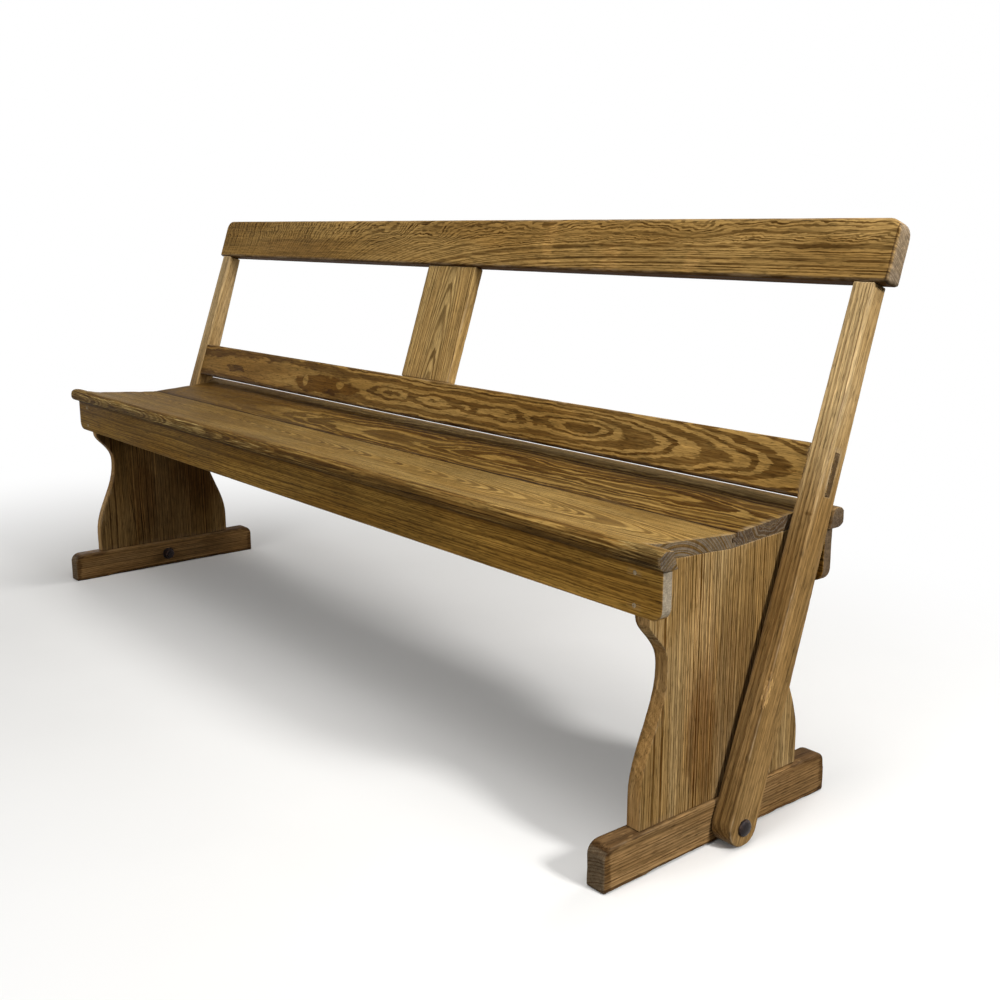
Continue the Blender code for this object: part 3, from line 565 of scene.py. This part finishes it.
def worn_mesh(
    name, corners, faces, half, seed, step=ROW, row_step=ROW, amount=EDGE_WEAR, chips=CHIP_DEPTH
):
    """A solid with level faces joined, cut into rows along, across and through, and worn."""
    body = bmesh.new()
    made = [body.verts.new(corner) for corner in corners]
    for face in faces:
        body.faces.new([made[index] for index in face])
    bmesh.ops.remove_doubles(body, verts=body.verts[:], dist=WELD)
    level = {"verts": body.verts[:], "edges": body.edges[:]}
    bmesh.ops.dissolve_limit(body, angle_limit=FLAT_ANGLE, **level)
    for axis, width in enumerate((step, row_step, row_step)):
        slice_across(body, axis, rows(half[axis], width))
    bmesh.ops.triangulate(body, faces=[face for face in body.faces if len(face.verts) > 4])
    wear_down(body, amount, chips, seed)
    mesh = bpy.data.meshes.new(name)
    body.to_mesh(mesh)
    body.free()
    mesh.polygons.foreach_set("use_smooth", [True] * len(mesh.polygons))
    mesh.set_sharp_from_angle(angle=SMOOTH_ANGLE)
    return mesh


def board(name, slot, grain, face_up, material, seed, **wear):
    """A worn copy of a CAD board, in axes along its grain, across its face and through it."""
    turn = Matrix((grain, face_up, grain.cross(face_up))).transposed()
    solid = NODES[name].data
    corners = [turn.transposed() @ vertex.co for vertex in solid.vertices]
    low = Vector(min(corner[axis] for corner in corners) for axis in range(3))
    high = Vector(max(corner[axis] for corner in corners) for axis in range(3))
    middle, half = (low + high) / 2, (high - low) / 2
    centred = [corner - middle for corner in corners]
    faces = [polygon.vertices for polygon in solid.polygons]
    mesh = worn_mesh(f"{name}_worn", centred, faces, half, seed, **wear)
    mesh.materials.append(material)
    piece = bpy.data.objects.new(f"{name}_worn", mesh)
    bpy.context.scene.collection.objects.link(piece)
    piece.matrix_world = Matrix.Translation(turn @ middle) @ turn.to_4x4()
    weight = piece.modifiers.new("even_faces", "WEIGHTED_NORMAL")
    weight.keep_sharp = True
    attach(piece, NODES[name]["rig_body"])
    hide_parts(name)


def dress(name, material):
    """Gives a CAD node that stays a better material."""
    NODES[name].data.materials.clear()
    NODES[name].data.materials.append(material)


def make_top_rail():
    """Flame figure above, straight grain below, pale spots and dark edges."""
    bottom, right_end = -0.0448, 0.957
    pale = (1.20, 1.18, 1.20)
    grain = pine(
        "top_rail_grain",
        early=rgba(0.378, 0.230, 0.073),
        tint=rgba(0.310, 0.177, 0.050),
        late=DEEP_UMBER,
        end=rgba(0.250, 0.194, 0.132),
        end_lines=0.35,
        pith=(0.125, -0.065),
        spacing=0.0047,
        wander=1.5,
        wander_size=(0.036, 0.018, 0.018),
        wander_detail=3.0,
        wander_fade=(-0.020, 0.016),
        shear=0.8,
        band=(0.40, 0.56, 0.93),
        ring_vary=0.40,
        breaks=0.50,
        contrast=1.0,
        hills=(
            # Rings that run out to the left
            ((-1.40, 0.0), (0.80, EVERYWHERE), -80.0),
            ((-1.00, -0.080), (0.70, 0.120), -25.0),
            # Tongues of the flame
            ((-0.22, 0.022), (0.060, 0.024), -3.8),
            ((-0.06, 0.014), (0.040, 0.018), -3.4),
            ((0.25, 0.030), (0.060, 0.016), -2.2),
            ((0.60, 0.026), (0.055, 0.017), -2.8),
        ),
        calm_spots=(((-0.70, -0.035), (0.55, 0.034), 0.7),),
        stains=(
            # Pale spots
            stain((0.27, 0.010, 0.0), extent(0.018, 0.050), pale),
            stain((0.43, -0.025, 0.0), extent(0.025, 0.030), (1.24, 1.22, 1.24)),
            stain((0.61, -0.025, 0.0), extent(0.018, 0.030), pale),
            stain((0.90, 0.030, 0.0), extent(0.060, 0.025), (1.18, 1.18, 1.20)),
            # A dull stretch on the left, a dark corner on the right, and dark edges
            stain((-0.60, -0.02, 0.0), extent(0.22, 0.030), (0.84, 0.82, 0.84)),
            stain((0.965, -0.040, 0.0), extent(0.012, 0.016), (0.35, 0.32, 0.30)),
            stain(
                (right_end, 0.0, 0.013),
                extent(along=0.0018, through=0.006),
                (0.40, 0.35, 0.30),
                ragged=1.8,
                spot=(0.008, 0.012),
            ),
            stain((0.0, bottom, 0.0), extent(across=0.0030), (0.28, 0.23, 0.19), 0.3),
        ),
        seed=3.0,
    )
    board("top_rail", "rail_pine", ALONG, UP_THE_BACK, grain, seed=1.0)


def make_lower_rail():
    """A row of islands, a dark patch with pale spots, a painted shadow along the lower edge and
    painted shade on the left end.
    """
    bottom = -0.0378
    dark = (0.42, 0.34, 0.25)
    pale = (2.35, 2.85, 3.70)
    grain = pine(
        "lower_rail_grain",
        early=rgba(0.345, 0.205, 0.060),
        tint=rgba(0.292, 0.164, 0.042),
        end=rgba(0.042, 0.034, 0.026),
        pith=(-0.002, -0.120),
        spacing=0.0020,
        wander=0.80,
        wander_size=(0.070, 0.026, 0.026),
        wander_detail=5.0,
        jag=0.20,
        band=(0.40, 0.50, 0.94),
        ring_vary=0.2,
        contrast=0.95,
        hills=(
            # Rings that run out on the right, and islands from right to left
            ((1.05, 0.0), (0.33, 0.2), 6.0),
            ((0.475, 0.003), (0.090, 0.019), -1.9),
            ((0.235, -0.001), (0.100, 0.020), -1.15),
            ((0.05, 0.000), (0.070, 0.018), -1.0),
            ((-0.10, -0.002), (0.070, 0.018), -1.0),
            ((-0.735, -0.011), (0.055, 0.014), -0.55),
            # Wider rings along both edges on the left
            ((-0.55, 0.040), (0.40, 0.022), -1.7),
            ((-0.55, -0.040), (0.40, 0.020), -1.5),
        ),
        stains=(
            stain((-0.335, -0.008, 0.0), extent(0.16, 0.025), dark, 0.9, (0.05, 0.02), soft=0.07),
            stain((-0.41, -0.006, 0.0), extent(0.013, 0.014), pale, 0.5, (0.02, 0.02), soft=0.10),
            stain((-0.27, -0.004, 0.0), extent(0.018, 0.010), pale, 0.9, (0.02, 0.02), soft=0.10),
            # Painted shadow along the lower edge
            stain((0.0, bottom, 0.0), extent(across=0.0036), (0.32, 0.26, 0.20), 0.3),
            # Painted shade: the left end darker
            stain((-0.80, 0.0, 0.0), extent(along=0.40), (0.80, 0.74, 0.68), 0.6, (0.20, 0.02)),
        ),
        seed=5.0,
    )
    board("lower_rail", "rail_pine", ALONG, UP_THE_BACK, grain, seed=2.0)


def make_slat():
    """Arches of paler wood."""
    grain = pine(
        "slat_grain",
        early=rgba(0.490, 0.325, 0.124),
        tint=rgba(0.418, 0.259, 0.090),
        late=rgba(0.100, 0.050, 0.012),
        pith=(-0.012, -0.021),
        drift=(0.0, -0.073),
        spacing=0.0044,
        wander=0.25,
        band=(0.40, 0.66, 0.92),
        contrast=0.9,
        wear=0.95,
        seed=7.0,
    )
    board("centre_slat", "slat_pine", UP_THE_BACK, -ALONG, grain, seed=3.0)


def make_seat_front():
    """Fine lines, and loops, streaks and a shadow on the nose."""
    rear_edge, nose = 0.0957, -0.096
    flecks = (1.90, 2.25, 3.00)
    loops = ((-0.86, 1.1), (-0.70, -1.3), (-0.55, 1.2), (-0.40, -1.2), (-0.25, 1.0), (0.05, -1.0))
    grain = pine(
        "seat_front_grain",
        early=rgba(0.350, 0.224, 0.070),
        tint=rgba(0.272, 0.162, 0.044),
        late=rgba(0.074, 0.034, 0.006),
        end=rgba(0.135, 0.114, 0.090),
        end_lines=0.95,
        end_rings=0.55,
        pith=(0.015, -0.026),
        drift=(-0.040, -0.055),
        spacing=0.0025,
        wander=0.40,
        band=(0.34, 0.48, 0.92),
        contrast=1.0,
        edge_calm=1.0,
        hills=[((along, nose), (0.070, 0.013), height) for along, height in loops],
        stains=(
            stain((0.0, rear_edge, 0.0), extent(across=0.0026), SEAT_JOINT, 0.2),
            # The nose: its arris, pale flecks on the left, dark streaks, and the shadow below
            stain(
                (0.0, -0.087, 0.015),
                (1.40, 0.005, 0.006),
                (0.55, 0.48, 0.42),
                ragged=2.6,
                spot=(0.09, 0.004),
                soft=0.08,
            ),
            stain((-0.55, nose, 0.004), (0.55, 0.014, 0.012), flecks, 3.0, (0.05, 0.003)),
            stain(
                (0.0, nose, 0.004),
                extent(across=0.009, through=0.013),
                (0.50, 0.43, 0.36),
                ragged=2.8,
                spot=(0.25, 0.0030),
            ),
            stain(
                (0.0, nose, -0.011),
                extent(across=0.020, through=0.007),
                (0.36, 0.32, 0.28),
                ragged=0.3,
            ),
            # Pale and dark flecks on the right end of the nose
            stain((0.93, nose, 0.0), extent(0.07, 0.016), (1.40, 1.62, 2.10), 2.0, (0.04, 0.003)),
            stain((0.93, nose, 0.0), extent(0.05, 0.016), (0.45, 0.42, 0.40), 3.4, (0.03, 0.002)),
            # Painted shade on the left part and painted light on the right part: the left darker,
            # the right paler
            stain((-0.70, 0.0, 0.0), extent(along=0.55), (0.86, 0.84, 0.80), 0.8, (0.20, 0.02)),
            stain((0.75, -0.03, 0.0), extent(along=0.32), (1.14, 1.14, 1.16), 0.8, (0.20, 0.02)),
        ),
        seed=11.0,
    )
    board("seat_board_front", "seat_pine", ALONG, REARWARD, grain, seed=4.0)


def make_seat_back():
    """Broad waves on a darker board, with a crest painted paler and greyer, as painted light,
    between dark lugs.
    """
    front_edge, lug_place = -0.0838, 0.95
    lug = (0.42, 0.36, 0.32)
    grain = pine(
        "seat_back_grain",
        early=rgba(0.295, 0.178, 0.050),
        tint=rgba(0.220, 0.125, 0.030),
        late=DEEP_UMBER,
        end=rgba(0.145, 0.120, 0.092),
        end_rings=3.4,
        pith=(-0.020, -0.034),
        drift=(0.008, 0.075),
        spacing=0.0110,
        wander=1.0,
        wander_size=(0.085, 0.026, 0.026),
        wander_detail=4.0,
        band=(0.26, 0.36, 0.95),
        ring_vary=0.20,
        contrast=1.0,
        hills=(
            ((0.12, 0.000), (0.100, 0.028), 1.2),
            ((0.32, 0.022), (0.090, 0.026), -1.3),
            ((0.50, -0.012), (0.090, 0.028), 1.2),
            ((0.70, 0.024), (0.090, 0.026), -1.3),
        ),
        calm_spots=(
            ((-0.70, 0.0), (0.36, EVERYWHERE), 0.7),
            ((0.0, 0.078), (EVERYWHERE, 0.022), 0.75),
        ),
        stains=(
            # The joint, with dirt beside it
            stain((0.0, front_edge, 0.0), extent(across=0.0026), SEAT_JOINT, 0.2),
            stain((0.0, front_edge, 0.0), extent(across=0.0130), (0.78, 0.74, 0.68), 0.5),
            # A darker stretch behind the middle, painted shade on the left part, and painted light
            # on the crest
            stain((0.0, 0.035, 0.0), extent(across=0.034), (0.80, 0.74, 0.64), 0.8, (0.20, 0.02)),
            stain((-0.85, 0.0, 0.0), extent(along=0.55), (0.68, 0.64, 0.66), 0.6, (0.20, 0.02)),
            # Painted light: a paler, greyer crest standing in for a reflection
            stain(
                (0.0, 0.100, 0.018),
                extent(across=0.056, through=0.022),
                (2.50, 2.95, 4.80),
                ragged=0.25,
                soft=0.1,
            ),
            # The lugs
            stain((-lug_place, 0.085, 0.0), extent(0.075, 0.040), lug, 0.8, soft=0.1),
            stain((lug_place, 0.085, 0.0), extent(0.075, 0.040), lug, 0.8, soft=0.1),
        ),
        seed=13.0,
    )
    board("seat_board_back", "seat_pine", ALONG, REARWARD, grain, seed=5.0)


def make_apron(side, seed, end):
    """Plain grain, a painted shadow along the top under the seat's nose, and a right part painted
    paler, as painted light.
    """
    top = 0.034
    grain = pine(
        f"apron_{side}_grain",
        early=rgba(0.300, 0.167, 0.036),
        tint=rgba(0.226, 0.118, 0.023),
        late=DEEP_UMBER,
        end=end,
        end_lines=0.12,
        end_share=0.95,
        pith=(0.15, -0.03),
        spacing=0.0046,
        wander=1.4,
        wander_size=(0.26, 0.05, 0.05),
        contrast=0.92,
        stains=(
            # Painted shadow under the seat's nose, along the top edge
            stain((0.0, top, 0.0), extent(across=0.009), (0.70, 0.66, 0.60)),
            stain((0.0, top, 0.0), extent(across=0.004), (0.35, 0.31, 0.27), 0.4),
            # Painted light: the right part paler
            stain((0.80, 0.0, 0.0), extent(along=0.35), (1.55, 1.54, 1.50), 0.9, (0.2, 0.01)),
        ),
        seed=seed,
    )
    board(f"apron_{side}", "apron_pine", ALONG, UPWARD, grain, seed, step=0.014)


def make_panel(side, outward, seed):
    """Upright grain, with painted shade on the inner face and painted light on the narrow faces;
    the left panel has a crack.
    """
    inner_face = -outward * 0.020
    crack = stain(
        (-0.086, 0.0797, 0.0), extent(0.075, 0.0010), (0.20, 0.17, 0.15), 0.6, lean=0.0986
    )
    grain = pine(
        f"end_panel_{side}_grain",
        early=rgba(0.420, 0.280, 0.120),
        tint=rgba(0.300, 0.180, 0.062),
        pith=(0.38, -0.03),
        spacing=0.0042,
        band=(0.26, 0.60, 0.93),
        wander=1.0,
        wander_size=(0.30, 0.035, 0.035),
        contrast=1.0,
        edge_calm=0.3,
        # Painted light: the narrow faces paler
        edge_tone=(1.25, 1.17, 1.14),
        stains=(
            # Dull and pale streaks
            stain((-0.06, 0.050, 0.0), extent(0.11, 0.034), (0.76, 0.70, 0.64)),
            stain((0.02, 0.052, 0.0), extent(0.16, 0.036), (1.28, 1.22, 1.15), 2.4, (0.30, 0.003)),
            stain((-0.05, -0.01, 0.0), extent(0.17, 0.10), (0.70, 0.68, 0.70), 1.6, (0.16, 0.007)),
            # Painted shade on the inner face, darkest at its top and towards the back
            stain((0.0, 0.0, inner_face), extent(through=0.016), (0.52, 0.46, 0.37), 0.3),
            stain((0.17, 0.0, inner_face), extent(0.11, through=0.016), (0.36, 0.29, 0.23), 0.4),
            stain((0.06, -0.11, inner_face), (0.22, 0.12, 0.018), (0.46, 0.36, 0.27), 0.3),
            # A pale patch near the front apron, and the crack
            stain((0.13, 0.15, 0.0), extent(0.07, 0.045), (1.32, 1.42, 1.66), 1.2, (0.08, 0.006)),
            *([crack] if side == "left" else []),
        ),
        wear=0.95,
        seed=seed,
    )
    board(f"end_panel_{side}", "panel_pine", UPWARD, -REARWARD, grain, seed)


def make_foot(side, outward, seed):
    """Dark, battered wood with dirt on the ends, the upper corners and the lower edge, and painted
    shade on the inner face.
    """
    tip, top, bottom = 0.228, 0.034, -0.031
    inner_face = -outward * 0.024
    end_dirt = (0.50, 0.46, 0.42)
    corner_dirt = (0.46, 0.43, 0.43)
    grain = pine(
        f"foot_{side}_grain",
        early=rgba(0.320, 0.193, 0.080),
        tint=rgba(0.243, 0.138, 0.051),
        late=rgba(0.066, 0.030, 0.010),
        end=rgba(0.150, 0.114, 0.073),
        pith=(-0.10, 0.03),
        spacing=0.0045,
        contrast=0.94,
        stains=(
            stain((-tip, 0.0, 0.0), extent(along=0.013), end_dirt, 1.4),
            stain((tip, 0.0, 0.0), extent(along=0.013), end_dirt, 1.4),
            stain((-tip, top, 0.0), extent(0.100, 0.013), corner_dirt, 1.4),
            stain((tip, top, 0.0), extent(0.100, 0.013), corner_dirt, 1.4),
            stain((0.0, bottom, 0.0), extent(across=0.006), (0.50, 0.45, 0.42), 2.0),
            # A dull rear part, and painted shade on the inner face
            stain((0.18, 0.0, 0.0), extent(along=0.10), (0.78, 0.75, 0.72), 0.9, (0.1, 0.01)),
            stain((0.0, 0.0, inner_face), extent(through=0.016), (0.80, 0.76, 0.70), 0.3),
        ),
        worn=rgba(0.215, 0.150, 0.088),
        seed=seed,
    )
    battered = {"step": 0.010, "row_step": 0.010, "amount": 0.0010, "chips": 0.005}
    board(f"foot_{side}", "foot_pine", REARWARD, UPWARD, grain, seed, **battered)


def make_arm(side, outward, seed):
    """Paler wood above, with scuffs low on the outer front arris."""
    arris = -outward * 0.0168
    grain = pine(
        f"back_arm_{side}_grain",
        early=rgba(0.325, 0.197, 0.075),
        tint=rgba(0.250, 0.143, 0.047),
        late=rgba(0.074, 0.034, 0.009),
        pith=(0.06, -0.05),
        drift=(0.05, 0.02),
        spacing=0.0042,
        wander=0.5,
        contrast=0.95,
        stains=(
            # The upper part, paler still on its front face
            stain((0.32, 0.0, 0.0), extent(along=0.26), (1.50, 1.68, 2.05), 0.6, (0.20, 0.006)),
            stain(
                (0.32, 0.0, 0.020),
                extent(along=0.32, through=0.012),
                (1.42, 1.52, 1.72),
                ragged=0.3,
                spot=(0.20, 0.006),
            ),
            # A dark mark in the middle, and pale scuffs further down
            stain((0.046, arris / 2, 0.028), (0.004, 0.010, 0.012), (0.60, 0.54, 0.48)),
            stain(
                (-0.198, arris, 0.024),
                (0.024, 0.006, 0.008),
                (2.2, 2.3, 2.5),
                ragged=3.0,
                spot=(0.008, 0.0016),
            ),
        ),
        wear=0.95,
        seed=seed,
    )
    board(f"back_arm_{side}", "arm_pine", UP_THE_BACK, -ALONG, grain, seed, row_step=0.010)


def make_end(side, outward, seed):
    """An end panel, its foot and the arm that swings beside them."""
    make_panel(side, outward, seed)
    make_foot(side, outward, seed + 1)
    make_arm(side, outward, seed + 2)


def make_fittings():
    """Materials for the pieces that keep their CAD shape."""
    block = pine("glue_block_grain", pith=(0.02, -0.06), spacing=0.003, contrast=0.6, seed=31.0)
    black = iron("bolt_iron", rgba(0.015, 0.011, 0.011), rgba(0.030, 0.014, 0.009), 0.75)
    bright = iron("nail_iron", rgba(0.560, 0.450, 0.290), rgba(0.240, 0.160, 0.085), 0.10)
    for name in NODES:
        if name.startswith("glue_block"):
            dress(name, block)
        elif name.startswith("pivot"):
            dress(name, black)
        elif name.startswith("apron_nail"):
            dress(name, bright)


def make_camera():
    """The photograph's place, aim, focal length and frame offset."""
    place = (1.8680, -1.21328, 0.8185)
    yaw, pitch, roll = 0.8683, -0.2157, 0.0024
    aim = Vector((-sin(yaw) * cos(pitch), cos(yaw) * cos(pitch), sin(pitch)))
    level = Vector((cos(yaw), sin(yaw), 0))
    rise = level.cross(aim)
    right = cos(roll) * level + sin(roll) * rise
    top = cos(roll) * rise - sin(roll) * level
    camera = bpy.data.cameras.new("camera")
    camera.sensor_width = 36
    camera.lens = 42.937
    camera.shift_x = -0.01654
    camera.shift_y = -0.00991
    camera.clip_start = 0.05
    holder = bpy.data.objects.new("camera", camera)
    bpy.context.scene.collection.objects.link(holder)
    turn = Matrix((right, top, -aim)).transposed().to_4x4()
    holder.matrix_world = Matrix.Translation(place) @ turn
    bpy.context.scene.camera = holder


def floor_material():
    """Pale near the bench, and one with the white surroundings further out.

    As a light on the bench it counts as dim, so that it throws little up from below.
    """
    pale, paler, dim = rgba(0.78, 0.77, 0.75), rgba(0.84, 0.83, 0.81), rgba(0.15, 0.14, 0.12)
    fade_start, fade_end, stretch = 0.7, 1.9, (0.8, 1.3, 1.0)
    tree = Surface("pale_floor")
    place = tree.nodes.new("ShaderNodeTexCoord").outputs["Object"]
    speck = tree.noise(place, (0.4, 0.4, 0.4), 3.0)
    tree.give("Base Color", tree.mix(tree.seen(), dim, tree.mix(speck, pale, paler)))
    tree.give("Roughness", 0.9)
    tree.give("Specular IOR Level", 0.1)
    reach = tree.vector("LENGTH", tree.vector("MULTIPLY", place, stretch))
    glow = tree.nodes.new("ShaderNodeEmission")
    tree.put(glow.inputs["Strength"], tree.surroundings())
    shaders = (tree.shader.outputs["BSDF"], glow.outputs["Emission"])
    blend = tree.nodes.new("ShaderNodeMixShader")
    tree.fill(blend, (tree.step(reach, fade_start, fade_end), *shaders))
    tree.links.new(blend.outputs["Shader"], tree.output.inputs["Surface"])
    return tree.material


def make_floor():
    side = 30.0
    corners = [(-side, -side, 0), (side, -side, 0), (side, side, 0), (-side, side, 0)]
    mesh = bpy.data.meshes.new("floor")
    mesh.from_pydata(corners, [], [(0, 1, 2, 3)])
    mesh.materials.append(floor_material())
    floor = bpy.data.objects.new("floor", mesh)
    bpy.context.scene.collection.objects.link(floor)


def make_lamp(name, place, aim, size, power):
    light = bpy.data.lights.new(name, "AREA")
    light.shape = "RECTANGLE"
    light.size, light.size_y = size
    light.energy = power
    lamp = bpy.data.objects.new(name, light)
    bpy.context.scene.collection.objects.link(lamp)
    lamp.location = place
    lamp.rotation_mode = "QUATERNION"
    lamp.rotation_quaternion = (Vector(aim) - Vector(place)).to_track_quat("-Z", "Y")


def make_world():
    world = bpy.data.worlds.new("studio")
    bpy.context.scene.world = world
    tree = Tree(world)
    background = tree.nodes.new("ShaderNodeBackground")
    background.inputs["Color"].default_value = rgba(1.0, 1.0, 1.0)
    tree.put(background.inputs["Strength"], tree.surroundings())
    output = tree.nodes.new("ShaderNodeOutputWorld")
    tree.links.new(background.outputs["Background"], output.inputs["Surface"])


make_top_rail()
make_lower_rail()
make_slat()
make_seat_front()
make_seat_back()
make_apron("front", 17.0, rgba(0.355, 0.300, 0.220))
make_apron("back", 19.0, rgba(0.130, 0.090, 0.055))
make_end("left", -1, 23.0)
make_end("right", 1, 29.0)
make_fittings()
make_camera()
make_floor()
make_world()
for lamp in LAMPS:
    make_lamp(*lamp)
bpy.context.scene.view_settings.view_transform = "Standard"
bpy.context.view_layer.update()
